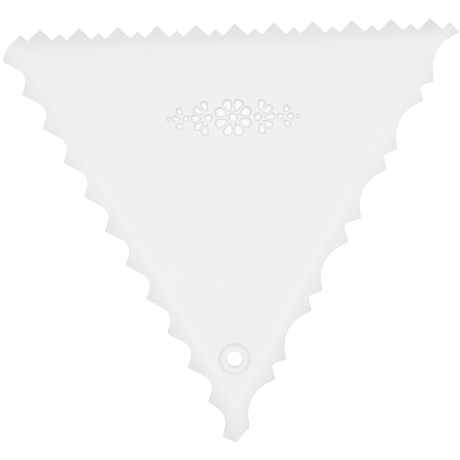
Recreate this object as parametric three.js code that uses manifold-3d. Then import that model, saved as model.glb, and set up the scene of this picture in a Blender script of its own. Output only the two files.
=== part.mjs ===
// Triangle icing comb, moulded in one piece of white plastic.
//
// Millimetres, +Z up. The comb lies on its flat back: +X runs along the saw-toothed side, +Y points from the
// hanging tip towards that side, and +Z comes out of the bevelled face. The origin is under the middle of its
// box. While it is drawn, y = 0 is the line through the saw's points, and x = 0 is the triangle's own middle.

import * as THREE from 'three';
import { mergeVertices } from 'three/addons/utils/BufferGeometryUtils.js';
import Module from 'manifold-3d';

// Triangle through the points of the teeth, before they are rounded
const SAW_SIDE_LENGTH = 136.9;
const TRIANGLE_HEIGHT = 120.3;

// Plate: a flat middle, and a crowned rim that thins towards the teeth
const PLATE_THICKNESS = 2.2;
const POINT_THICKNESS = 1.05;
const RIM_WIDTH = 6.5;
const RIM_CREST_SLOPE = 4;
const RIM_STEPS = 6;

// Saw teeth, large and small in turn, counted from the left corner of the triangle
const SAW_START = 16.1;
const SAW_END_ROOM = 9;
const LARGE_TOOTH_HEIGHT = 3.5;
const SMALL_TOOTH_HEIGHT = 2;
const SAW_POINT_ANGLE = 90;
const SAW_POINT_RADIUS = 0.3;
const SAW_VALLEY_RADIUS = 0.25;

// Corners at the ends of the saw: the left one bends over towards the leaning scallops
const LEFT_FLANK_LENGTH = 4.85;
const LEFT_KNEE_RADIUS = 2;
const LEFT_NOSE_RADIUS = 1.2;
const RIGHT_NOSE_RADIUS = 0.4;

// Leaning scallops down the left side, with one steep flank each and a blunt nose between them
const LEANING_START = 10;
const LEANING_PITCH = 11.24;
const LEANING_END_ROOM = 11;
const LEANING_UPPER_FLANK = 31.5;
const LEANING_LOWER_FLANK = 50;
const LEANING_BOTTOM_RADIUS = 3.8;
const LEANING_NOSE_RADIUS = 0.45;

// Wide and narrow scallops in turn down the right side, with a broader narrow one halfway
const WIDE_CHORD = 15.65;
const WIDE_FLANK = 34.5;
const WIDE_BOTTOM_RADIUS = 9.7;
const NARROW_CHORD = 6.2;
const HALFWAY_CHORD = 7.6;
const NARROW_FLANK = 44.5;
const NARROW_BOTTOM_RADIUS = 1.35;
const CUSP_RADIUS = 0.3;
const WIDE_END_ROOM = 5;

// Hanging tip: a blunt point with a heel on its left and a shallow dish on its right
const TIP_ABOVE_APEX = 2.1;
const TIP_OFFSET = -0.15;
const HEEL_REACH = 4.05;
const HEEL_RISE = 1.75;
const HEEL_LOWER_FLANK = 36.5;
const HEEL_BOTTOM_RADIUS = 5;
const TIP_NOSE_RADIUS = 0.7;
const TIP_DISH_ANGLE = 7;
const TIP_DISH_RADIUS = 8.8;

// Hang hole above the tip, and the raised ring round it, whose diameter is taken halfway up its sloping wall
const HANG_HOLE_DIAMETER = 4.3;
const HANG_HOLE_FROM_TIP = 23.7;
const RING_DIAMETER = 8.4;
const RING_HEIGHT = 0.4;
const RING_WALL_SLOPE = 27;
const RING_EDGE_RADIUS = 1;
const ROUND_SIDES = 40;

// Largest distance between a rounded corner and its facets
const ARC_TOLERANCE = 0.02;

// Length by which a cutter or a blank runs past the faces that it meets
const OVERRUN = 1;

const COMB_COLOUR = 0xf0f0f2;
const COMB_ROUGHNESS = 0.42;

const radians = THREE.MathUtils.degToRad;
const leftCorner = new THREE.Vector2(-SAW_SIDE_LENGTH / 2, 0);
const rightCorner = new THREE.Vector2(SAW_SIDE_LENGTH / 2, 0);
const apex = new THREE.Vector2(0, -TRIANGLE_HEIGHT);
const sideLength = leftCorner.distanceTo(apex);
const inradius = (SAW_SIDE_LENGTH * TRIANGLE_HEIGHT) / (SAW_SIDE_LENGTH + 2 * sideLength);
const middle = new THREE.Vector2(0, -inradius);
const tip = new THREE.Vector2(TIP_OFFSET, TIP_ABOVE_APEX - TRIANGLE_HEIGHT);
const heel = new THREE.Vector2(TIP_OFFSET - HEEL_REACH, tip.y + HEEL_RISE);
const holeCentre = new THREE.Vector2(tip.x, tip.y + HANG_HOLE_FROM_TIP);

// A corner of an outline or a profile: its sharp point, and the radius that rounds it
function corner(point, radius = 0) {
  return { point, radius };
}

// The point on a slanting side at this distance from the top corner that the side starts at
function alongSide(topCorner, distance) {
  return topCorner.clone().lerp(apex, distance / sideLength);
}

// The bottom of a V notch between two tooth points, from the angles of its flanks to the line between them
function notchBottom(from, to, firstFlank, secondFlank, radius) {
  const along = to.clone().sub(from);
  const firstRun = 1 / Math.tan(radians(firstFlank));
  const secondRun = 1 / Math.tan(radians(secondFlank));
  const depth = along.length() / (firstRun + secondRun);
  along.normalize();
  const inward = new THREE.Vector2(-along.y, along.x);
  if (inward.dot(middle.clone().sub(from)) < 0) {
    inward.negate();
  }
  const bottom = from.clone().addScaledVector(along, depth * firstRun).addScaledVector(inward, depth);
  return corner(bottom, radius);
}

// Saw teeth from left to right, with the knee of the left corner first
function sawCorners() {
  const spread = Math.tan(radians(SAW_POINT_ANGLE) / 2);
  const largeHalf = LARGE_TOOTH_HEIGHT * spread;
  const smallHalf = SMALL_TOOTH_HEIGHT * spread;
  const pitch = 2 * (largeHalf + smallHalf);
  const count = 1 + Math.floor((SAW_SIDE_LENGTH - SAW_START - SAW_END_ROOM) / pitch);
  const smallTip = SMALL_TOOTH_HEIGHT - LARGE_TOOTH_HEIGHT;
  const flank = new THREE.Vector2(spread, 1).normalize();
  const corners = [];
  for (let i = 0; i < count; i += 1) {
    const x = leftCorner.x + SAW_START + i * pitch;
    corners.push(corner(new THREE.Vector2(x - pitch / 2, smallTip), SAW_POINT_RADIUS));
    corners.push(corner(new THREE.Vector2(x - largeHalf, -LARGE_TOOTH_HEIGHT), SAW_VALLEY_RADIUS));
    corners.push(corner(new THREE.Vector2(x, 0), SAW_POINT_RADIUS));
    corners.push(corner(new THREE.Vector2(x + largeHalf, -LARGE_TOOTH_HEIGHT), SAW_VALLEY_RADIUS));
  }
  const lastX = leftCorner.x + SAW_START + (count - 1) * pitch;
  corners.push(corner(new THREE.Vector2(lastX + pitch / 2, smallTip), SAW_POINT_RADIUS));
  const knee = corners[0].point.clone().addScaledVector(flank, -LEFT_FLANK_LENGTH);
  return [corner(knee, LEFT_KNEE_RADIUS), ...corners];
}

// Leaning scallops from the left corner down to the heel of the tip
function leaningCorners() {
  const count = 1 + Math.floor((sideLength - LEANING_START - LEANING_END_ROOM) / LEANING_PITCH);
  const noses = [];
  for (let i = 0; i < count; i += 1) {
    noses.push(alongSide(leftCorner, LEANING_START + i * LEANING_PITCH));
  }
  const corners = [corner(noses[0], LEFT_NOSE_RADIUS)];
  for (let i = 1; i < count; i += 1) {
    const bottomRadius = LEANING_BOTTOM_RADIUS;
    corners.push(notchBottom(noses[i - 1], noses[i], LEANING_UPPER_FLANK, LEANING_LOWER_FLANK, bottomRadius));
    corners.push(corner(noses[i], LEANING_NOSE_RADIUS));
  }
  corners.push(notchBottom(noses.at(-1), heel, LEANING_UPPER_FLANK, HEEL_LOWER_FLANK, HEEL_BOTTOM_RADIUS));
  return corners;
}

// Wide and narrow scallops from the point where the last saw flank meets the right side, down to the tip
function wideAndNarrowCorners(lastSawPoint) {
  const spread = Math.tan(radians(SAW_POINT_ANGLE) / 2);
  const lean = rightCorner.x / TRIANGLE_HEIGHT;
  const fall = (rightCorner.x - lastSawPoint.x + lean * lastSawPoint.y) / (spread + lean);
  const start = (fall - lastSawPoint.y) * (sideLength / TRIANGLE_HEIGHT);
  const room = sideLength - start - WIDE_CHORD - (HALFWAY_CHORD - NARROW_CHORD) - WIDE_END_ROOM;
  const pairs = Math.floor(room / (WIDE_CHORD + NARROW_CHORD));
  const halfway = Math.floor(pairs / 2);
  let distance = start;
  let point = alongSide(rightCorner, distance);
  const corners = [corner(point, RIGHT_NOSE_RADIUS)];
  const addNotch = (chord, flank, radius) => {
    distance += chord;
    const next = alongSide(rightCorner, distance);
    corners.push(notchBottom(point, next, flank, flank, radius));
    corners.push(corner(next, CUSP_RADIUS));
    point = next;
  };
  for (let i = 0; i < pairs; i += 1) {
    addNotch(WIDE_CHORD, WIDE_FLANK, WIDE_BOTTOM_RADIUS);
    addNotch(i === halfway ? HALFWAY_CHORD : NARROW_CHORD, NARROW_FLANK, NARROW_BOTTOM_RADIUS);
  }
  addNotch(WIDE_CHORD, WIDE_FLANK, WIDE_BOTTOM_RADIUS);
  return corners;
}

// The whole outline, counter-clockwise: down the left side, round the tip, up the right side, along the saw
function outlineCorners() {
  const saw = sawCorners();
  const right = wideAndNarrowCorners(saw.at(-1).point);
  const lastPoint = right.at(-1).point;
  return [
    ...leaningCorners(),
    corner(heel, LEANING_NOSE_RADIUS),
    corner(tip, TIP_NOSE_RADIUS),
    notchBottom(tip, lastPoint, TIP_DISH_ANGLE, TIP_DISH_ANGLE, TIP_DISH_RADIUS),
    ...right.reverse(),
    ...saw.reverse(),
  ];
}

// Points of an outline or a profile with each corner rounded to its radius
function roundedPoints(corners) {
  return corners.flatMap(({ point, radius }, i) => {
    if (radius === 0) {
      return [point];
    }
    const toBefore = corners.at(i - 1).point.clone().sub(point).normalize();
    const toAfter = corners[(i + 1) % corners.length].point.clone().sub(point).normalize();
    const halfAngle = toBefore.angleTo(toAfter) / 2;
    const bisector = toBefore.clone().add(toAfter).normalize();
    const centre = point.clone().addScaledVector(bisector, radius / Math.sin(halfAngle));
    const start = point.clone().addScaledVector(toBefore, radius / Math.tan(halfAngle));
    const turn = (Math.PI - 2 * halfAngle) * Math.sign(toAfter.cross(toBefore));
    const stepAngle = 2 * Math.acos(1 - ARC_TOLERANCE / radius);
    const steps = Math.ceil(Math.abs(turn) / stepAngle);
    const arc = [];
    for (let k = 0; k <= steps; k += 1) {
      arc.push(start.clone().rotateAround(centre, (turn * k) / steps));
    }
    return arc;
  });
}

const wasm = await Module();
wasm.setup();

// A closed geometry as a solid that can be joined and cut
function solid(geometry) {
  geometry.deleteAttribute('normal');
  geometry.deleteAttribute('uv');
  const merged = mergeVertices(geometry);
  const vertProperties = merged.attributes.position.array;
  const triVerts = Uint32Array.from(merged.index.array);
  return new wasm.Manifold(new wasm.Mesh({ numProp: 3, vertProperties, triVerts }));
}

// A closed geometry through triangles that lie one above another, from the bottom to the top
function loftOfTriangles(sections) {
  const positions = sections.flat().flatMap((point) => point.toArray());
  const index = [0, 2, 1];
  for (let level = 0; level + 1 < sections.length; level += 1) {
    for (let side = 0; side < 3; side += 1) {
      const here = level * 3 + side;
      const next = level * 3 + ((side + 1) % 3);
      index.push(here, next, next + 3);
      index.push(here, next + 3, here + 3);
    }
  }
  const top = (sections.length - 1) * 3;
  index.push(top, top + 1, top + 2);
  const geometry = new THREE.BufferGeometry();
  geometry.setAttribute('position', new THREE.Float32BufferAttribute(positions, 3));
  geometry.setIndex(index);
  return geometry;
}

// One section of the blank: the tooth triangle moved inwards by a distance, at a height
function blankSection(inset, height) {
  return [leftCorner, apex, rightCorner].map((point) => {
    const moved = point.clone().lerp(middle, inset / inradius);
    return new THREE.Vector3(moved.x, moved.y, height);
  });
}

// The bevelled blank: level outside the tooth points, crowned over the rim, and flat in the middle
function bevelledBlank() {
  const leftDirection = apex.clone().sub(leftCorner).normalize();
  const heelOutside = -leftDirection.cross(heel.clone().sub(leftCorner));
  const outside = -(heelOutside + OVERRUN);
  const fullFall = PLATE_THICKNESS - POINT_THICKNESS;
  const crestFall = RIM_WIDTH * Math.tan(radians(RIM_CREST_SLOPE));
  const sections = [blankSection(outside, 0), blankSection(outside, POINT_THICKNESS)];
  for (let step = RIM_STEPS; step >= 0; step -= 1) {
    const share = step / RIM_STEPS;
    const fall = crestFall * share + (fullFall - crestFall) * share ** 2;
    sections.push(blankSection(RIM_WIDTH * (1 - share), PLATE_THICKNESS - fall));
  }
  return solid(loftOfTriangles(sections));
}

// A prism of the toothed outline, taller than the blank that it cuts
function toothedPrism() {
  const shape = new THREE.Shape(roundedPoints(outlineCorners()));
  const depth = PLATE_THICKNESS + 2 * OVERRUN;
  const geometry = new THREE.ExtrudeGeometry(shape, { depth, bevelEnabled: false });
  geometry.translate(0, 0, -OVERRUN);
  return solid(geometry);
}

// The raised ring as a disc with a sloping wall and a rounded top edge, rooted in the middle of the plate
function ringBoss() {
  const root = PLATE_THICKNESS / 2;
  const halfway = PLATE_THICKNESS + RING_HEIGHT / 2;
  const top = PLATE_THICKNESS + RING_HEIGHT;
  const wallRadius = (height) => RING_DIAMETER / 2 + (halfway - height) / Math.tan(radians(RING_WALL_SLOPE));
  const profile = roundedPoints([
    corner(new THREE.Vector2(0, root)),
    corner(new THREE.Vector2(wallRadius(root), root)),
    corner(new THREE.Vector2(wallRadius(top), top), RING_EDGE_RADIUS),
    corner(new THREE.Vector2(0, top)),
  ]);
  const geometry = new THREE.LatheGeometry(profile, ROUND_SIDES);
  geometry.rotateX(Math.PI / 2);
  geometry.translate(holeCentre.x, holeCentre.y, 0);
  return solid(geometry);
}

// The cutter for the hang hole
function holeCutter() {
  const length = PLATE_THICKNESS + RING_HEIGHT + 2 * OVERRUN;
  const radius = HANG_HOLE_DIAMETER / 2;
  const geometry = new THREE.CylinderGeometry(radius, radius, length, ROUND_SIDES);
  geometry.rotateX(Math.PI / 2);
  geometry.translate(holeCentre.x, holeCentre.y, length / 2 - OVERRUN);
  return solid(geometry);
}

// The finished comb, moved so that the origin is under the middle of its box
function combGeometry() {
  const comb = bevelledBlank().intersect(toothedPrism()).add(ringBoss()).subtract(holeCutter());
  const mesh = comb.getMesh();
  const geometry = new THREE.BufferGeometry();
  geometry.setAttribute('position', new THREE.BufferAttribute(mesh.vertProperties, 3));
  geometry.setIndex(new THREE.BufferAttribute(mesh.triVerts, 1));
  geometry.computeBoundingBox();
  const { min, max } = geometry.boundingBox;
  geometry.translate(-(min.x + max.x) / 2, -(min.y + max.y) / 2, -min.z);
  geometry.computeVertexNormals();
  return geometry;
}

const whitePlastic = new THREE.MeshStandardMaterial({
  color: COMB_COLOUR,
  roughness: COMB_ROUGHNESS,
  metalness: 0,
});

const icingComb = new THREE.Mesh(combGeometry(), whitePlastic);
icingComb.name = 'icing_comb';

const part = new THREE.Group();
part.add(icingComb);

export default part;
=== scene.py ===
# Triangle icing comb: one white plastic moulding with a different row of teeth along each side.
#
# Sizes are written in millimetres and angles in degrees. The comb is drawn with y = 0 on the line through the
# saw's points and x = 0 on the triangle's own middle, and the finished moulding is then moved to its place.

from collections import namedtuple
from math import acos, ceil, copysign, cos, hypot, pi, radians, sin, tan

import bmesh
import bpy
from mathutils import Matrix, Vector


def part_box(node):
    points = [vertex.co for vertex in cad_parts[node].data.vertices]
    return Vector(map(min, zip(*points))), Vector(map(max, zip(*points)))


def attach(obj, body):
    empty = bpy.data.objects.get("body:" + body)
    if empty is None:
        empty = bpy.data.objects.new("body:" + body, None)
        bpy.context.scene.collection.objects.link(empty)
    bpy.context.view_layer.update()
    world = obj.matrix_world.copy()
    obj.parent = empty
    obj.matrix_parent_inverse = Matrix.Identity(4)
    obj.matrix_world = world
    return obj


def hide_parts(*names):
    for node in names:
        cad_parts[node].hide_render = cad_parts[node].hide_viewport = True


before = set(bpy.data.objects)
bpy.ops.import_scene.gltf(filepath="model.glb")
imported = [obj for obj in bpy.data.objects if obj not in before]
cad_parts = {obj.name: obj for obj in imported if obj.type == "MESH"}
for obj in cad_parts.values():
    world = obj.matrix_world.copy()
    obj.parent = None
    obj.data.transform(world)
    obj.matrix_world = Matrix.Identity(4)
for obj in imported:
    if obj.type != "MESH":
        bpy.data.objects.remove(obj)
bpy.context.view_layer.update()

MM = 0.001

# Triangle through the points of the teeth, before they are rounded
SAW_SIDE_LENGTH = 136.9
TRIANGLE_HEIGHT = 120.3

# Plate: a flat middle, and a crowned rim that thins towards the teeth
PLATE_THICKNESS = 2.2
POINT_THICKNESS = 1.05
RIM_WIDTH = 6.5
RIM_CREST_SLOPE = 4
RIM_STEPS = 6

# Saw teeth, large and small in turn, counted from the left corner of the triangle
SAW_START = 16.1
LARGE_TOOTH_COUNT = 11
LARGE_TOOTH_HEIGHT = 3.5
SMALL_TOOTH_HEIGHT = 2
SAW_POINT_RADIUS = 0.3
SAW_VALLEY_RADIUS = 0.25

# Corners at the ends of the saw: the left one bends over towards the leaning scallops
LEFT_FLANK_LENGTH = 4.85
LEFT_KNEE_RADIUS = 2
LEFT_NOSE_RADIUS = 1.2
RIGHT_NOSE_RADIUS = 0.4

# Leaning scallops down the left side, with one steep flank each and a blunt nose between them
LEANING_START = 10
LEANING_PITCH = 11.24
LEANING_NOSE_COUNT = 11
LEANING_UPPER_FLANK = 31.5
LEANING_LOWER_FLANK = 50
LEANING_BOTTOM_RADIUS = 3.8
LEANING_NOSE_RADIUS = 0.45

# Wide and narrow scallops in turn down the right side, with a broader narrow one halfway
WIDE_CHORD = 15.65
WIDE_FLANK = 34.5
WIDE_BOTTOM_RADIUS = 9.7
NARROW_CHORD = 6.2
HALFWAY_CHORD = 7.6
NARROW_FLANK = 44.5
NARROW_BOTTOM_RADIUS = 1.35
NARROW_COUNT = 5
CUSP_RADIUS = 0.3

# Hanging tip: a blunt point with a heel on its left and a shallow dish on its right
TIP_ABOVE_APEX = 2.1
TIP_OFFSET = -0.15
HEEL_REACH = 4.05
HEEL_RISE = 1.75
HEEL_LOWER_FLANK = 36.5
HEEL_BOTTOM_RADIUS = 5
TIP_NOSE_RADIUS = 0.7
TIP_DISH_ANGLE = 7
TIP_DISH_RADIUS = 8.8

# Hang hole above the tip, and the raised ring round it, whose diameter is taken halfway up its sloping wall
HANG_HOLE_DIAMETER = 4.3
HANG_HOLE_FROM_TIP = 23.7
HOLE_EDGE_RADIUS = 0.2
RING_DIAMETER = 8.4
RING_HEIGHT = 0.4
RING_WALL_SLOPE = 27
RING_EDGE_RADIUS = 1.7
RING_BASE_RADIUS = 1.7

# Rounding: radius of the outline's edges, facets across an edge and round a disc, and a square edge's turn
EDGE_RADIUS = 0.15
EDGE_STEPS = 4
ROUND_SIDES = 72
RIGHT_ANGLE = 90

# Ornament of low pads in the middle of the face: a rosette, and sprays that grow smaller to either side.
# A spray has petals an angle step apart, from a start to a reach, and a bead that they spring from.
Spray = namedtuple("Spray", "petals step start reach width bead")
ROSETTE = Spray(petals=8, step=45, start=1.75, reach=5.5, width=2.65, bead=2.7)
SIDE_SPRAYS = (
    Spray(petals=5, step=37, start=1.7, reach=5.1, width=2, bead=2.4),
    Spray(petals=3, step=50, start=1.4, reach=3.8, width=1.85, bead=1.9),
)
SPRAY_GAP = 0.28
END_BEAD = 1.4
ORNAMENT_CENTRE = Vector((1.4, -26.6))
RIGHTWARD = 0
LEFTWARD = 180
PAD_HEIGHT = 0.45
PAD_ROOT = 0.1
PAD_WALL_SLOPE = 52
PAD_EDGE_RADIUS = 0.45
PETAL_TAPER = 1.1

# Grid of small faces under the ornament, with its columns and rows counted from the middle
GRID_STEP = 1
GRID_COLUMNS = 19
GRID_ROWS = 6

# Drawing: how far facets may lie off a true round, how far the drill overruns, how near to each other points
# merge, and how near to a cut they count as on it
ARC_TOLERANCE = 0.008
OVERRUN = 1
WELD_DISTANCE = 0.002
CUT_THRESHOLD = 0.0005

# Upward part of a normal: at least this on the top side and on a level face, and at most this on a wall
TOP_NORMAL = 0.1
LEVEL_NORMAL = 0.9
WALL_NORMAL = 0.4

# Edges that turn by less than this are shaded smooth
SMOOTHING_ANGLE = 35

# Finish: the plastic's tone, the shade that drifts through it, and tones for painted shade down the rim, a
# painted highlight on the crests and painted shade in the creases
Finish = namedtuple(
    "Finish", "tone shade thin_tone rubbed_tone crease_tone roughness_low roughness_high grain_depth"
)
SATIN = Finish(
    tone=(0.81, 0.81, 0.825),
    shade=(0.795, 0.795, 0.815),
    # painted shade down the rim, near the tip and at the saw's ends, for the shading of the sloping rim
    thin_tone=(0.728, 0.728, 0.738),
    # painted highlight along the crests of the slanting rims
    rubbed_tone=(0.813, 0.813, 0.823),
    # painted shade in the creases at the foot of raised forms
    crease_tone=(0.815, 0.81, 0.8),
    roughness_low=0.26,
    roughness_high=0.34,
    grain_depth=0.004,
)
POLISH = Finish(
    tone=(0.89, 0.89, 0.89),
    shade=(0.87, 0.87, 0.875),
    thin_tone=(0.87, 0.87, 0.875),
    rubbed_tone=(0.9, 0.9, 0.9),
    # painted shade, warm and dark, in the creases at the foot of the ornament's pads
    crease_tone=(0.72, 0.705, 0.68),
    roughness_low=0.2,
    roughness_high=0.28,
    grain_depth=0.002,
)

# Places of the painted tones: shade down the rim, near the tip and at the saw's ends, a highlight along the
# crest, and shade in the creases at raised forms
RIM_SHADE_START = 34
RIM_SHADE_END = 90
TIP_SHADE_START = 76
TIP_SHADE_SHARE = 0.5
CORNER_SHADE_REACH = 12
CREST_HIGHLIGHT_WIDTH = 1.8
CREASE_SHADE_HEIGHT = 0.3
CREASE_SHADE_PEAK = 0.045

# Sizes of the clouds in the tone, of the flow marks in the gloss, and of the grain
CLOUD_SIZE = 14
FLOW_SIZE = 6
GRAIN_SIZE = 0.35
NOISE_DETAIL = 3

# Camera straight above the face
CAMERA_HEIGHT = 450
CAMERA_LENS = 124.68
CAMERA_PLACE = Vector((-1.72, 0.9))
CAMERA_ROLL = -1.65

# Studio: a softbox above the comb, a dim sky and a pale floor, both of which the camera sees as white
SOFTBOX_PLACE = Vector((30, -340, 2000))
SOFTBOX_SIZE = 2260
SOFTBOX_POWER = 36
SKY_STRENGTH = 0.35
SKY_SHOWN = 1
FLOOR_SIZE = 4000
FLOOR_GAP = 0.03
FLOOR_TONE = 0.8
FLOOR_LIT_PART = 0.3
FLOOR_GLOW = 0.85

# Places and heights that follow from the sizes
LEFT_CORNER = Vector((-SAW_SIDE_LENGTH / 2, 0))
RIGHT_CORNER = Vector((SAW_SIDE_LENGTH / 2, 0))
APEX = Vector((0, -TRIANGLE_HEIGHT))
SIDE_LENGTH = (APEX - LEFT_CORNER).length
INRADIUS = SAW_SIDE_LENGTH * TRIANGLE_HEIGHT / (SAW_SIDE_LENGTH + 2 * SIDE_LENGTH)
MIDDLE = Vector((0, -INRADIUS))
TIP = Vector((TIP_OFFSET, TIP_ABOVE_APEX - TRIANGLE_HEIGHT))
HEEL = TIP + Vector((-HEEL_REACH, HEEL_RISE))
HOLE_CENTRE = TIP + Vector((0, HANG_HOLE_FROM_TIP))
SLANTING_SIDES = ((LEFT_CORNER, APEX), (APEX, RIGHT_CORNER))
SAW_SIDE = (RIGHT_CORNER, LEFT_CORNER)
SIDES = (*SLANTING_SIDES, SAW_SIDE)
RIM_FALL = PLATE_THICKNESS - POINT_THICKNESS
FACE_TOP = PLATE_THICKNESS


# Modelling steps


def metres(x, y, z=0):
    """A place or a step in metres, from one in millimetres."""
    return Vector((x, y, z)) * MM


def select_only(piece):
    """Leaves one piece selected and active."""
    bpy.ops.object.select_all(action="DESELECT")
    piece.select_set(True)
    bpy.context.view_layer.objects.active = piece


def open_mesh(piece, select_mode):
    """Edit mode on one piece, with nothing selected in it."""
    select_only(piece)
    bpy.ops.object.mode_set(mode="EDIT")
    bpy.ops.mesh.select_mode(type=select_mode)
    bpy.ops.mesh.select_all(action="DESELECT")


def close_mesh():
    bpy.ops.object.mode_set(mode="OBJECT")


def named(name):
    """The object that was added last, under a name of its own."""
    piece = bpy.context.object
    piece.name = name
    piece.data.name = name
    return piece


Round = namedtuple("Round", "start centre radius turn")


def roundings(corners):
    """The round of each corner of an outline, with its turn in radians, positive to the left."""
    points = [point for point, radius in corners]
    rounds = []
    for i, (point, radius) in enumerate(corners):
        to_before = (points[i - 1] - point).normalized()
        to_after = (points[(i + 1) % len(points)] - point).normalized()
        half_angle = to_before.angle(to_after) / 2
        start = point + to_before * (radius / tan(half_angle))
        centre = point + (to_before + to_after).normalized() * (radius / sin(half_angle))
        turn = copysign(pi - 2 * half_angle, to_after.cross(to_before))
        rounds.append(Round(start, centre, radius, turn))
    return rounds


def draw_line(pen, target):
    """Draws on from the pen's vertex to a target, unless it is there already."""
    step = target - pen
    if step.length > WELD_DISTANCE:
        bpy.ops.mesh.extrude_vertices_move(TRANSFORM_OT_translate={"value": metres(step.x, step.y)})


def draw_round(corner):
    """Spins the pen's vertex round a corner, and gives the place where it ends."""
    step_angle = 2 * acos(1 - ARC_TOLERANCE / corner.radius)
    steps = max(EDGE_STEPS, ceil(abs(corner.turn) / step_angle))
    centre = metres(corner.centre.x, corner.centre.y)
    bpy.ops.mesh.spin(steps=steps, angle=-corner.turn, center=centre, axis=(0, 0, 1))
    arm = corner.start - corner.centre
    turned_x = arm.x * cos(corner.turn) - arm.y * sin(corner.turn)
    turned_y = arm.x * sin(corner.turn) + arm.y * cos(corner.turn)
    return corner.centre + Vector((turned_x, turned_y))


def draw_face(name, corners, finish):
    """A flat face on the ground, drawn by one vertex that runs from corner to corner."""
    bpy.ops.mesh.primitive_plane_add(size=MM)
    piece = named(name)
    piece.data.materials.append(finish)
    open_mesh(piece, "VERT")
    bpy.ops.mesh.select_all(action="SELECT")
    bpy.ops.mesh.merge(type="CENTER")
    rounds = roundings(corners)
    pen = rounds[0].start
    bpy.ops.transform.translate(value=metres(pen.x, pen.y))
    for corner in rounds:
        draw_line(pen, corner.start)
        pen = draw_round(corner)
    draw_line(pen, rounds[0].start)
    bpy.ops.mesh.select_all(action="SELECT")
    bpy.ops.mesh.remove_doubles(threshold=WELD_DISTANCE * MM)
    bpy.ops.mesh.edge_face_add()
    close_mesh()
    return piece


def thicken_up(piece, thickness):
    """Raises a drawn face into a solid that starts where the face lies."""
    open_mesh(piece, "FACE")
    bpy.ops.mesh.select_all(action="SELECT")
    bpy.ops.mesh.extrude_region_move(TRANSFORM_OT_translate={"value": metres(0, 0, thickness)})
    bpy.ops.mesh.select_all(action="SELECT")
    bpy.ops.mesh.normals_make_consistent(inside=False)
    close_mesh()


def round_edges(piece, chosen, radius, turn=RIGHT_ANGLE):
    """Rounds the edges that the test picks to a radius, where the surface turns through an angle."""
    open_mesh(piece, "EDGE")
    mesh = bmesh.from_edit_mesh(piece.data)
    for edge in mesh.edges:
        if chosen(edge):
            edge.select_set(True)
    bmesh.update_edit_mesh(piece.data)
    setback = radius * tan(radians(turn / 2))
    bpy.ops.mesh.bevel(offset=setback * MM, segments=EDGE_STEPS, clamp_overlap=False, loop_slide=False)
    close_mesh()


def is_outline_edge(edge):
    """Whether an edge lies between a wall and a level face."""
    wall, level = sorted(abs(face.normal.z) for face in edge.link_faces)
    return wall < WALL_NORMAL and level > LEVEL_NORMAL


def on_circle(edge, centre, diameter, height):
    """Whether an edge lies on a level circle."""
    for vertex in edge.verts:
        x, y, z = vertex.co / MM
        off_level = abs(z - height)
        off_circle = abs(hypot(x - centre.x, y - centre.y) - diameter / 2)
        if max(off_level, off_circle) > WELD_DISTANCE:
            return False
    return True


def round_circle(piece, centre, diameter, height, radius, turn=RIGHT_ANGLE):
    """Rounds the edges that lie on a level circle."""
    round_edges(piece, lambda edge: on_circle(edge, centre, diameter, height), radius, turn)


def make_disc(name, centre, diameter, bottom, top, finish, top_diameter=None):
    """An upright round solid between two heights, straight or tapering to another diameter at its top."""
    bpy.ops.mesh.primitive_cone_add(
        vertices=ROUND_SIDES,
        radius1=diameter / 2 * MM,
        radius2=(top_diameter or diameter) / 2 * MM,
        depth=(top - bottom) * MM,
        location=metres(centre.x, centre.y, (bottom + top) / 2),
    )
    disc = named(name)
    disc.data.materials.append(finish)
    bpy.ops.object.transform_apply()
    return disc


def apply_boolean(piece, tool, operation):
    """Joins a tool to a piece or cuts it out of the piece, and takes the tool away."""
    select_only(piece)
    modifier = piece.modifiers.new(operation.lower(), "BOOLEAN")
    modifier.object = tool
    modifier.operation = operation
    modifier.solver = "MANIFOLD"
    modifier.material_mode = "TRANSFER"
    bpy.ops.object.modifier_apply(modifier=modifier.name)
    bpy.data.objects.remove(tool)


# Outline of the comb, as corner points with the radius of each


def alongside(top_corner, distance):
    """The point on a slanting side at this distance from its top corner."""
    return top_corner.lerp(APEX, distance / SIDE_LENGTH)


def notch(first, last, first_flank, last_flank, radius):
    """The bottom of a V notch between two tooth points, from its flanks' angles to the line between them."""
    along = last - first
    first_run = 1 / tan(radians(first_flank))
    last_run = 1 / tan(radians(last_flank))
    depth = along.length / (first_run + last_run)
    along.normalize()
    inward = along.orthogonal()
    if inward.dot(MIDDLE - first) < 0:
        inward.negate()
    return first + along * (depth * first_run) + inward * depth, radius


def saw_corners():
    """Saw teeth with 45 degree flanks, from left to right, with the knee of the left corner first."""
    pitch = 2 * (LARGE_TOOTH_HEIGHT + SMALL_TOOTH_HEIGHT)
    small_point_y = SMALL_TOOTH_HEIGHT - LARGE_TOOTH_HEIGHT
    corners = []
    for i in range(LARGE_TOOTH_COUNT):
        x = LEFT_CORNER.x + SAW_START + i * pitch
        corners.append((Vector((x - pitch / 2, small_point_y)), SAW_POINT_RADIUS))
        corners.append((Vector((x - LARGE_TOOTH_HEIGHT, -LARGE_TOOTH_HEIGHT)), SAW_VALLEY_RADIUS))
        corners.append((Vector((x, 0)), SAW_POINT_RADIUS))
        corners.append((Vector((x + LARGE_TOOTH_HEIGHT, -LARGE_TOOTH_HEIGHT)), SAW_VALLEY_RADIUS))
    corners.append((Vector((x + pitch / 2, small_point_y)), SAW_POINT_RADIUS))
    up_the_flank = Vector((1, 1)).normalized()
    knee = corners[0][0] - up_the_flank * LEFT_FLANK_LENGTH
    return [(knee, LEFT_KNEE_RADIUS), *corners]


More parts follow.
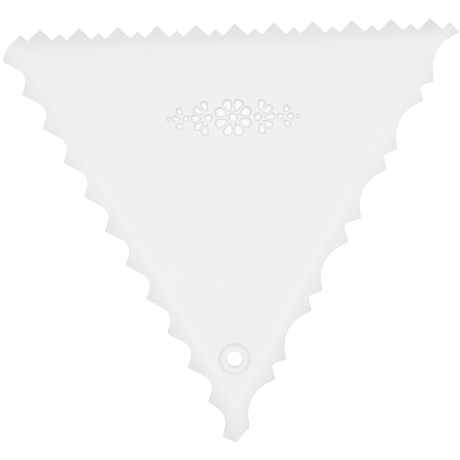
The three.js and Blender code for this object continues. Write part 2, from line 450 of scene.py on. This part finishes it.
def leaning_corners():
    """Leaning scallops from the left corner down to the heel of the tip."""
    distances = [LEANING_START + i * LEANING_PITCH for i in range(LEANING_NOSE_COUNT)]
    noses = [alongside(LEFT_CORNER, distance) for distance in distances]
    corners = [(noses[0], LEFT_NOSE_RADIUS)]
    for upper, lower in zip(noses, noses[1:]):
        bottom = notch(upper, lower, LEANING_UPPER_FLANK, LEANING_LOWER_FLANK, LEANING_BOTTOM_RADIUS)
        corners += [bottom, (lower, LEANING_NOSE_RADIUS)]
    corners.append(notch(noses[-1], HEEL, LEANING_UPPER_FLANK, HEEL_LOWER_FLANK, HEEL_BOTTOM_RADIUS))
    return corners


def wide_and_narrow_corners(last_saw_point):
    """Wide and narrow scallops from where the last saw flank meets the right side, down to the tip."""
    lean = RIGHT_CORNER.x / TRIANGLE_HEIGHT
    fall = (RIGHT_CORNER.x - last_saw_point.x + lean * last_saw_point.y) / (1 + lean)
    distance = (fall - last_saw_point.y) * SIDE_LENGTH / TRIANGLE_HEIGHT
    wide = (WIDE_CHORD, WIDE_FLANK, WIDE_BOTTOM_RADIUS)
    notches = [wide]
    for i in range(NARROW_COUNT):
        chord = HALFWAY_CHORD if i == NARROW_COUNT // 2 else NARROW_CHORD
        notches += [(chord, NARROW_FLANK, NARROW_BOTTOM_RADIUS), wide]
    point = alongside(RIGHT_CORNER, distance)
    corners = [(point, RIGHT_NOSE_RADIUS)]
    for chord, flank, radius in notches:
        distance += chord
        below = alongside(RIGHT_CORNER, distance)
        corners += [notch(point, below, flank, flank, radius), (below, CUSP_RADIUS)]
        point = below
    return corners


def outline_corners():
    """The outline, counter-clockwise: down the left side, round the tip, up the right side, along the saw."""
    saw = saw_corners()
    right = wide_and_narrow_corners(saw[-1][0])
    return [
        *leaning_corners(),
        (HEEL, LEANING_NOSE_RADIUS),
        (TIP, TIP_NOSE_RADIUS),
        notch(TIP, right[-1][0], TIP_DISH_ANGLE, TIP_DISH_ANGLE, TIP_DISH_RADIUS),
        *reversed(right),
        *reversed(saw),
    ]


# Toothed plate


def insets(place):
    """Distances of a place inside the three sides of the tooth triangle."""
    return [(end - start).normalized().cross(place.xy - start) for start, end in SIDES]


def on_flat_middle(place):
    return min(insets(place)) > RIM_WIDTH


def in_ornament_place(place):
    offset = place.xy - ORNAMENT_CENTRE
    return abs(offset.x) < GRID_COLUMNS * GRID_STEP and abs(offset.y) < GRID_ROWS * GRID_STEP


def on_side_rim(place, number):
    """Whether a place is on the rim and nearest to the side with this number."""
    depths = insets(place)
    return depths[number] == min(depths) and depths[number] < RIM_WIDTH


def on_rim_corner(place, number):
    """Whether a place is on the rims of both sides that meet at the start of the side with this number."""
    depths = insets(place)
    return max(depths[number], depths[number - 1]) < RIM_WIDTH


def rim_fall(inset):
    """How far the crowned rim lies below the flat middle, at a distance inside the tooth points."""
    share = min(max(1 - inset / RIM_WIDTH, 0), 1)
    crest_fall = RIM_WIDTH * tan(radians(RIM_CREST_SLOPE))
    return crest_fall * share + (RIM_FALL - crest_fall) * share**2


def cut_selected(point, direction):
    """Cuts an edge line through what is selected, by an upright plane through a point along a direction."""
    across = direction.normalized().orthogonal()
    bpy.ops.mesh.bisect(
        plane_co=metres(point.x, point.y),
        plane_no=(across.x, across.y, 0),
        threshold=CUT_THRESHOLD * MM,
    )


def cut_face(plate, chosen, point, direction):
    """Cuts an edge line through the faces of the top that the test picks by their place."""
    open_mesh(plate, "FACE")
    mesh = bmesh.from_edit_mesh(plate.data)
    for face in mesh.faces:
        if face.normal.z > TOP_NORMAL and chosen(face.calc_center_median() / MM):
            face.select_set(True)
    bmesh.update_edit_mesh(plate.data)
    cut_selected(point, direction)
    close_mesh()


def cut_rim_lines(plate):
    """Cuts the lines where the rim bends: round the flat middle, at the mitred corners and down the crown."""
    for start, end in SIDES:
        cut_face(plate, lambda place: True, start.lerp(MIDDLE, RIM_WIDTH / INRADIUS), end - start)
    for number, (start, end) in enumerate(SIDES):
        cut_face(plate, lambda place: on_rim_corner(place, number), start, MIDDLE - start)
    for number, (start, end) in enumerate(SIDES):
        for step in range(RIM_STEPS):
            inset = RIM_WIDTH * step / RIM_STEPS
            point = start.lerp(MIDDLE, inset / INRADIUS)
            cut_face(plate, lambda place: on_side_rim(place, number), point, end - start)


def cut_ornament_grid(plate):
    """Cuts out the ornament's place and divides it into faces that are too small to hold a whole pad."""
    directions = ((Vector((1, 0)), GRID_COLUMNS), (Vector((0, 1)), GRID_ROWS))
    for direction, steps in directions:
        for step in (-steps, steps):
            point = ORNAMENT_CENTRE + direction * (step * GRID_STEP)
            cut_face(plate, on_flat_middle, point, direction.orthogonal())
    for direction, steps in directions:
        for step in range(1 - steps, steps):
            point = ORNAMENT_CENTRE + direction * (step * GRID_STEP)
            cut_face(plate, in_ornament_place, point, direction.orthogonal())


def cut_across_hole(plate):
    """Cuts the plate along a line through the place of the hang hole, so that no face goes all round it."""
    open_mesh(plate, "FACE")
    bpy.ops.mesh.select_all(action="SELECT")
    cut_selected(HOLE_CENTRE, Vector((1, 0)))
    close_mesh()


def sink_rim(plate):
    """Lowers the upper side of the rim by the fall of its crown."""
    cut_rim_lines(plate)
    lowered = plate.vertex_groups.new(name="rim_fall")
    top_side = (PLATE_THICKNESS - EDGE_RADIUS - WELD_DISTANCE) * MM
    for vertex in plate.data.vertices:
        if vertex.co.z > top_side:
            fall = rim_fall(min(insets(vertex.co / MM)))
            lowered.add([vertex.index], fall / RIM_FALL, "REPLACE")
    select_only(plate)
    sink = plate.modifiers.new("sink", "DISPLACE")
    sink.direction = "Z"
    sink.mid_level = 0
    sink.strength = -RIM_FALL * MM
    sink.vertex_group = lowered.name
    bpy.ops.object.modifier_apply(modifier=sink.name)
    plate.vertex_groups.clear()


def make_toothed_plate(finish):
    """The toothed outline as a flat plate with rounded edges, whose rim is then sunk towards the teeth."""
    plate = draw_face("moulded_comb", outline_corners(), finish)
    thicken_up(plate, PLATE_THICKNESS)
    round_edges(plate, is_outline_edge, EDGE_RADIUS)
    sink_rim(plate)
    cut_ornament_grid(plate)
    cut_across_hole(plate)
    return plate


# Hanging ring


def ring_diameter(height):
    """The ring's diameter at a height, from its own diameter halfway up and the slope of its wall."""
    halfway = FACE_TOP + RING_HEIGHT / 2
    return RING_DIAMETER + 2 * (halfway - height) / tan(radians(RING_WALL_SLOPE))


def add_hanging_ring(plate, finish):
    """The raised ring with its sloping wall, rounded edge and filleted foot, and the hang hole through it."""
    root = PLATE_THICKNESS / 2
    top = FACE_TOP + RING_HEIGHT
    upper = ring_diameter(top)
    foot = ring_diameter(FACE_TOP)
    ring = make_disc("hanging_ring", HOLE_CENTRE, ring_diameter(root), root, top, finish, upper)
    round_circle(ring, HOLE_CENTRE, upper, top, RING_EDGE_RADIUS, RING_WALL_SLOPE)
    apply_boolean(plate, ring, "UNION")
    round_circle(plate, HOLE_CENTRE, foot, FACE_TOP, RING_BASE_RADIUS, RING_WALL_SLOPE)
    drill = make_disc("hang_hole", HOLE_CENTRE, HANG_HOLE_DIAMETER, -OVERRUN, top + OVERRUN, finish)
    apply_boolean(plate, drill, "DIFFERENCE")
    for height in (0, top):
        round_circle(plate, HOLE_CENTRE, HANG_HOLE_DIAMETER, height, HOLE_EDGE_RADIUS)


# Ornament


def make_pad(name, length, width, taper, finish):
    """A low pad with sloping walls, its length and width taken on the face, with or without a taper."""
    top = FACE_TOP + PAD_HEIGHT
    run = 1 / tan(radians(PAD_WALL_SLOPE))
    upper = width - 2 * PAD_HEIGHT * run
    lower = width + 2 * PAD_ROOT * run
    middle = Vector((0, 0))
    pad = make_disc(name, middle, lower, FACE_TOP - PAD_ROOT, top, finish, upper)
    round_circle(pad, middle, upper, top, PAD_EDGE_RADIUS, PAD_WALL_SLOPE)
    if taper:
        widening = pad.modifiers.new("taper", "SIMPLE_DEFORM")
        widening.deform_method = "TAPER"
        widening.deform_axis = "X"
        widening.lock_z = True
        widening.factor = taper
        bpy.ops.object.modifier_apply(modifier=widening.name)
    pad.scale.x = length / width
    bpy.ops.object.transform_apply()
    return pad


def towards(angle):
    """A step of one in the direction of an angle."""
    return Vector((cos(radians(angle)), sin(radians(angle))))


def copy_pad(pad, place, angle=0):
    """A copy of a pad with a mesh of its own, turned to an angle and moved to its place."""
    select_only(pad)
    bpy.ops.object.duplicate()
    copy = bpy.context.object
    copy.rotation_euler.z = radians(angle)
    copy.location = metres(place.x, place.y)
    bpy.ops.object.transform_apply()
    return copy


def spread_sprays(name, spray, places, finish):
    """A spray at each place: a bead, and petals spread evenly to either side of the place's heading."""
    bead = make_pad(f"{name}_bead", spray.bead, spray.bead, 0, finish)
    petal = make_pad(f"{name}_petal", spray.reach - spray.start, spray.width, PETAL_TAPER, finish)
    halfway = (spray.start + spray.reach) / 2
    pads = []
    for base, heading in places:
        pads.append(copy_pad(bead, base))
        for i in range(spray.petals):
            angle = heading + spray.step * (i - (spray.petals - 1) / 2)
            middle = base + towards(angle) * halfway
            pads.append(copy_pad(petal, middle, angle))
    bpy.data.objects.remove(bead)
    bpy.data.objects.remove(petal)
    return pads


def make_ornament(finish):
    """The rosette with its sprays and an end bead on either side, all of the same height."""
    pads = spread_sprays("rosette", ROSETTE, [(ORNAMENT_CENTRE, RIGHTWARD)], finish)
    reach = ROSETTE.reach + SPRAY_GAP
    for i, spray in enumerate(SIDE_SPRAYS):
        offset = Vector((reach + spray.bead / 2, 0))
        places = [(ORNAMENT_CENTRE + offset, RIGHTWARD), (ORNAMENT_CENTRE - offset, LEFTWARD)]
        pads += spread_sprays(f"side_spray_{i}", spray, places, finish)
        reach = offset.x + spray.reach + SPRAY_GAP
    end_bead = make_pad("end_bead", END_BEAD, END_BEAD, 0, finish)
    offset = Vector((reach + END_BEAD / 2, 0))
    pads.append(copy_pad(end_bead, ORNAMENT_CENTRE + offset))
    pads.append(copy_pad(end_bead, ORNAMENT_CENTRE - offset))
    bpy.data.objects.remove(end_bead)
    ornament, *others = pads
    for pad in others:
        apply_boolean(ornament, pad, "UNION")
    return ornament


# Finishes


def grey(tone):
    return tone, tone, tone, 1


def add_noise(tree, place, size):
    """Noise of a size in millimetres, in the piece's own coordinates."""
    noise = tree.nodes.new("ShaderNodeTexNoise")
    noise.inputs["Scale"].default_value = 1 / (size * MM)
    noise.inputs["Detail"].default_value = NOISE_DETAIL
    tree.links.new(place, noise.inputs["Vector"])
    return noise.outputs["Fac"]


def add_math(tree, operation, first, second):
    """A calculation on a value that changes over the surface, with a number or with another such value."""
    step = tree.nodes.new("ShaderNodeMath")
    step.operation = operation
    tree.links.new(first, step.inputs[0])
    if isinstance(second, (int, float)):
        step.inputs[1].default_value = second
    else:
        tree.links.new(second, step.inputs[1])
    return step.outputs["Value"]


def add_rise(tree, value, start, end):
    """Nothing where a value is at its start, rising evenly to one where it reaches its end."""
    rise = tree.nodes.new("ShaderNodeMapRange")
    tree.links.new(value, rise.inputs["Value"])
    rise.inputs["From Min"].default_value = start
    rise.inputs["From Max"].default_value = end
    return rise.outputs["Result"]


def add_peak(tree, value, start, peak, end):
    """Nothing where a value is at its start, one where it is at a peak, and nothing again at its end."""
    before = add_rise(tree, value, start, peak)
    after = add_rise(tree, value, end, peak)
    return add_math(tree, "MINIMUM", before, after)


def add_colour_mix(tree, share, first, second):
    """One colour blended into another by a share that changes over the surface."""
    mix = tree.nodes.new("ShaderNodeMix")
    mix.data_type = "RGBA"
    tree.links.new(share, mix.inputs["Factor"])
    tree.links.new(first, mix.inputs["A"])
    tree.links.new(second, mix.inputs["B"])
    return mix.outputs["Result"]


def add_axis(tree, place, axis):
    """One coordinate of a place, in metres."""
    axes = tree.nodes.new("ShaderNodeSeparateXYZ")
    tree.links.new(place, axes.inputs["Vector"])
    return axes.outputs[axis]


def add_inset(tree, place, comb_place, sides):
    """The distance of a place inside the nearest of some sides of the tooth triangle, in metres."""
    nearest = None
    for start, end in sides:
        inward = (end - start).normalized().orthogonal()
        side_place = metres(start.x, start.y) + comb_place
        across = tree.nodes.new("ShaderNodeVectorMath")
        across.operation = "DOT_PRODUCT"
        tree.links.new(place, across.inputs[0])
        across.inputs[1].default_value = (inward.x, inward.y, 0)
        inset = add_math(tree, "SUBTRACT", across.outputs["Value"], inward.dot(side_place.xy))
        nearest = add_math(tree, "MINIMUM", inset, nearest) if nearest else inset
    return nearest


def add_painted_rim_shade(tree, place, comb_place):
    """The share of painted shade that stands in for the shading of the sloping rim: down the rim, near the
    tip, and at the ends of the saw's rim.
    """
    y = add_axis(tree, place, "Y")
    rim = add_rise(tree, add_inset(tree, place, comb_place, SIDES), RIM_WIDTH * MM, 0)
    down_rim = add_rise(tree, y, comb_place.y - RIM_SHADE_START * MM, comb_place.y - RIM_SHADE_END * MM)
    shade_down_rim = add_math(tree, "MULTIPLY", rim, down_rim)
    near_tip = add_rise(tree, y, comb_place.y - TIP_SHADE_START * MM, comb_place.y + APEX.y * MM)
    shade_near_tip = add_math(tree, "MULTIPLY", near_tip, TIP_SHADE_SHARE)
    slanting_inset = add_inset(tree, place, comb_place, SLANTING_SIDES)
    near_slant = add_rise(tree, slanting_inset, CORNER_SHADE_REACH * MM, 0)
    saw_rim = add_rise(tree, add_inset(tree, place, comb_place, [SAW_SIDE]), RIM_WIDTH * MM, 0)
    shade_at_corner = add_math(tree, "MULTIPLY", near_slant, saw_rim)
    shade_at_ends = add_math(tree, "MAXIMUM", shade_near_tip, shade_at_corner)
    return add_math(tree, "MAXIMUM", shade_down_rim, shade_at_ends)


def add_crest_highlight(tree, place, comb_place):
    """The share of painted highlight along the crests of the two slanting rims, on the face alone."""
    inset = add_inset(tree, place, comb_place, SLANTING_SIDES)
    start = (RIM_WIDTH - CREST_HIGHLIGHT_WIDTH) * MM
    end = (RIM_WIDTH + CREST_HIGHLIGHT_WIDTH) * MM
    crest = add_peak(tree, inset, start, RIM_WIDTH * MM, end)
    z = add_axis(tree, place, "Z")
    on_face = add_math(tree, "GREATER_THAN", z, comb_place.z + POINT_THICKNESS * MM)
    return add_math(tree, "MULTIPLY", crest, on_face)


def add_crease_shade(tree, place, comb_place):
    """The share of painted shade in a crease, at the foot of what stands up from the face."""
    start = comb_place.z + FACE_TOP * MM
    z = add_axis(tree, place, "Z")
    return add_peak(tree, z, start, start + CREASE_SHADE_PEAK * MM, start + CREASE_SHADE_HEIGHT * MM)


def make_surface_group(comb_place):
    """The moulded surface: drifting tone, painted shade down the rim and in creases, a painted highlight on
    the crests, uneven roughness and a fine grain.
    """
    group = bpy.data.node_groups.new("moulded_surface", "ShaderNodeTree")
    for name in ("Tone", "Shade", "Thin Tone", "Rubbed Tone", "Crease Tone"):
        group.interface.new_socket(name, in_out="INPUT", socket_type="NodeSocketColor")
    for name in ("Roughness Low", "Roughness High"):
        group.interface.new_socket(name, in_out="INPUT", socket_type="NodeSocketFloat")
    group.interface.new_socket("Color", in_out="OUTPUT", socket_type="NodeSocketColor")
    for name in ("Roughness", "Height"):
        group.interface.new_socket(name, in_out="OUTPUT", socket_type="NodeSocketFloat")
    link = group.links.new
    entry = group.nodes.new("NodeGroupInput").outputs
    leave = group.nodes.new("NodeGroupOutput").inputs
    place = group.nodes.new("ShaderNodeTexCoord").outputs["Object"]
    clouds = add_noise(group, place, CLOUD_SIZE)
    painted_rim_shade = add_painted_rim_shade(group, place, comb_place)
    crest_highlight = add_crest_highlight(group, place, comb_place)
    crease_shade = add_crease_shade(group, place, comb_place)
    drifting = add_colour_mix(group, clouds, entry["Tone"], entry["Shade"])
    # painted shade down the rim, near the tip and at the saw's ends
    rim_shaded = add_colour_mix(group, painted_rim_shade, drifting, entry["Thin Tone"])
    # painted highlight along the slanting crests
    highlighted = add_colour_mix(group, crest_highlight, rim_shaded, entry["Rubbed Tone"])
    # painted shade in the creases
    crease_shaded = add_colour_mix(group, crease_shade, highlighted, entry["Crease Tone"])
    link(crease_shaded, leave["Color"])
    roughness = group.nodes.new("ShaderNodeMapRange")
    link(add_noise(group, place, FLOW_SIZE), roughness.inputs["Value"])
    link(entry["Roughness Low"], roughness.inputs["To Min"])
    link(entry["Roughness High"], roughness.inputs["To Max"])
    link(roughness.outputs["Result"], leave["Roughness"])
    link(add_noise(group, place, GRAIN_SIZE), leave["Height"])
    return group


def make_plastic(name, group, finish):
    """White plastic with the moulded surface, in a finish of its own."""
    material = bpy.data.materials.new(name)
    material.use_nodes = True
    nodes = material.node_tree.nodes
    link = material.node_tree.links.new
    shader = nodes["Principled BSDF"]
    surface = nodes.new("ShaderNodeGroup")
    surface.node_tree = group
    surface.inputs["Tone"].default_value = (*finish.tone, 1)
    surface.inputs["Shade"].default_value = (*finish.shade, 1)
    # tone of the painted shade down the rim
    surface.inputs["Thin Tone"].default_value = (*finish.thin_tone, 1)
    # tone of the painted highlight on the crests
    surface.inputs["Rubbed Tone"].default_value = (*finish.rubbed_tone, 1)
    # tone of the painted shade in the creases
    surface.inputs["Crease Tone"].default_value = (*finish.crease_tone, 1)
    surface.inputs["Roughness Low"].default_value = finish.roughness_low
    surface.inputs["Roughness High"].default_value = finish.roughness_high
    bump = nodes.new("ShaderNodeBump")
    bump.inputs["Distance"].default_value = finish.grain_depth * MM
    link(surface.outputs["Color"], shader.inputs["Base Color"])
    link(surface.outputs["Roughness"], shader.inputs["Roughness"])
    link(surface.outputs["Height"], bump.inputs["Height"])
    link(bump.outputs["Normal"], shader.inputs["Normal"])
    return material


# Whole moulding


def find_comb_place():
    """Where the drawing's zero point goes, so that the left nose and the large teeth touch the node's box."""
    low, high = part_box("icing_comb")
    centres = [corner.centre for corner in roundings(outline_corners())]
    left_nose = centres[0].x - LEFT_NOSE_RADIUS
    large_teeth = max(centre.y for centre in centres) + SAW_POINT_RADIUS
    return Vector((low.x - left_nose * MM, high.y - large_teeth * MM, low.z))


def merge_and_move(comb, comb_place):
    """Merges the points that lie side by side where forms were joined, and moves the mesh to its place."""
    open_mesh(comb, "VERT")
    bpy.ops.mesh.select_all(action="SELECT")
    bpy.ops.mesh.remove_doubles(threshold=WELD_DISTANCE * MM)
    bpy.ops.mesh.dissolve_degenerate(threshold=WELD_DISTANCE * MM)
    bpy.ops.transform.translate(value=comb_place)
    close_mesh()


def shade_evenly(comb):
    """Smooth shading on all but sharp edges, led by the large faces."""
    select_only(comb)
    bpy.ops.object.shade_smooth_by_angle(angle=radians(SMOOTHING_ANGLE))
    weighting = comb.modifiers.new("even_shading", "WEIGHTED_NORMAL")
    weighting.keep_sharp = True
    bpy.ops.object.modifier_apply(modifier=weighting.name)


def make_comb():
    """The whole comb as one mesh in its place, of satin plastic with a polished ornament."""
    comb_place = find_comb_place()
    surface = make_surface_group(comb_place)
    satin = make_plastic("satin_plastic", surface, SATIN)
    polish = make_plastic("polished_plastic", surface, POLISH)
    comb = make_toothed_plate(satin)
    add_hanging_ring(comb, satin)
    apply_boolean(comb, make_ornament(polish), "UNION")
    merge_and_move(comb, comb_place)
    shade_evenly(comb)
    return comb


# Scene round the comb


def add_camera():
    camera_data = bpy.data.cameras.new("camera")
    camera_data.lens = CAMERA_LENS
    camera = bpy.data.objects.new("camera", camera_data)
    camera.location = metres(CAMERA_PLACE.x, CAMERA_PLACE.y, CAMERA_HEIGHT)
    camera.rotation_euler = (0, 0, radians(CAMERA_ROLL))
    bpy.context.scene.collection.objects.link(camera)
    bpy.context.scene.camera = camera


def add_softbox():
    """A large square light above the comb, a little towards its tip."""
    light = bpy.data.lights.new("softbox", "AREA")
    light.shape = "SQUARE"
    light.size = SOFTBOX_SIZE * MM
    light.energy = SOFTBOX_POWER
    lamp = bpy.data.objects.new("softbox", light)
    lamp.location = SOFTBOX_PLACE * MM
    bpy.context.scene.collection.objects.link(lamp)


def camera_sees(tree):
    """A mask of the rays that show something to the camera, straight or by way of gloss or glass."""
    path = tree.nodes.new("ShaderNodeLightPath").outputs
    straight_or_gloss = add_math(tree, "MAXIMUM", path["Is Camera Ray"], path["Is Glossy Ray"])
    return add_math(tree, "MAXIMUM", straight_or_gloss, path["Is Transmission Ray"])


def add_sky():
    """A dim white sky, which the camera sees as white."""
    world = bpy.data.worlds.new("studio")
    bpy.context.scene.world = world
    world.use_nodes = True
    tree = world.node_tree
    background = tree.nodes["Background"]
    background.inputs["Color"].default_value = grey(1)
    strength = tree.nodes.new("ShaderNodeMix")
    tree.links.new(camera_sees(tree), strength.inputs["Factor"])
    strength.inputs["A"].default_value = SKY_STRENGTH
    strength.inputs["B"].default_value = SKY_SHOWN
    tree.links.new(strength.outputs["Result"], background.inputs["Strength"])


def add_floor():
    """A plain pale floor that shows white and keeps a faint shadow."""
    bpy.ops.mesh.primitive_plane_add(size=FLOOR_SIZE * MM, location=metres(0, 0, -FLOOR_GAP))
    floor = named("floor")
    material = bpy.data.materials.new("pale_floor")
    material.use_nodes = True
    tree = material.node_tree
    nodes = tree.nodes
    link = tree.links.new
    nodes.remove(nodes["Principled BSDF"])
    lit = nodes.new("ShaderNodeBsdfDiffuse")
    lit.inputs["Color"].default_value = grey(FLOOR_TONE)
    shown = nodes.new("ShaderNodeBsdfDiffuse")
    shown.inputs["Color"].default_value = grey(FLOOR_LIT_PART)
    glow = nodes.new("ShaderNodeEmission")
    glow.inputs["Strength"].default_value = FLOOR_GLOW
    bright = nodes.new("ShaderNodeAddShader")
    link(shown.outputs["BSDF"], bright.inputs[0])
    link(glow.outputs["Emission"], bright.inputs[1])
    choice = nodes.new("ShaderNodeMixShader")
    link(camera_sees(tree), choice.inputs["Fac"])
    link(lit.outputs["BSDF"], choice.inputs[1])
    link(bright.outputs["Shader"], choice.inputs[2])
    link(choice.outputs["Shader"], nodes["Material Output"].inputs["Surface"])
    floor.data.materials.append(material)


bpy.ops.object.select_all(action="DESELECT")
comb = make_comb()
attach(comb, "root")
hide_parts("icing_comb")

add_floor()
add_softbox()
add_sky()
add_camera()
bpy.context.scene.view_settings.view_transform = "Standard"
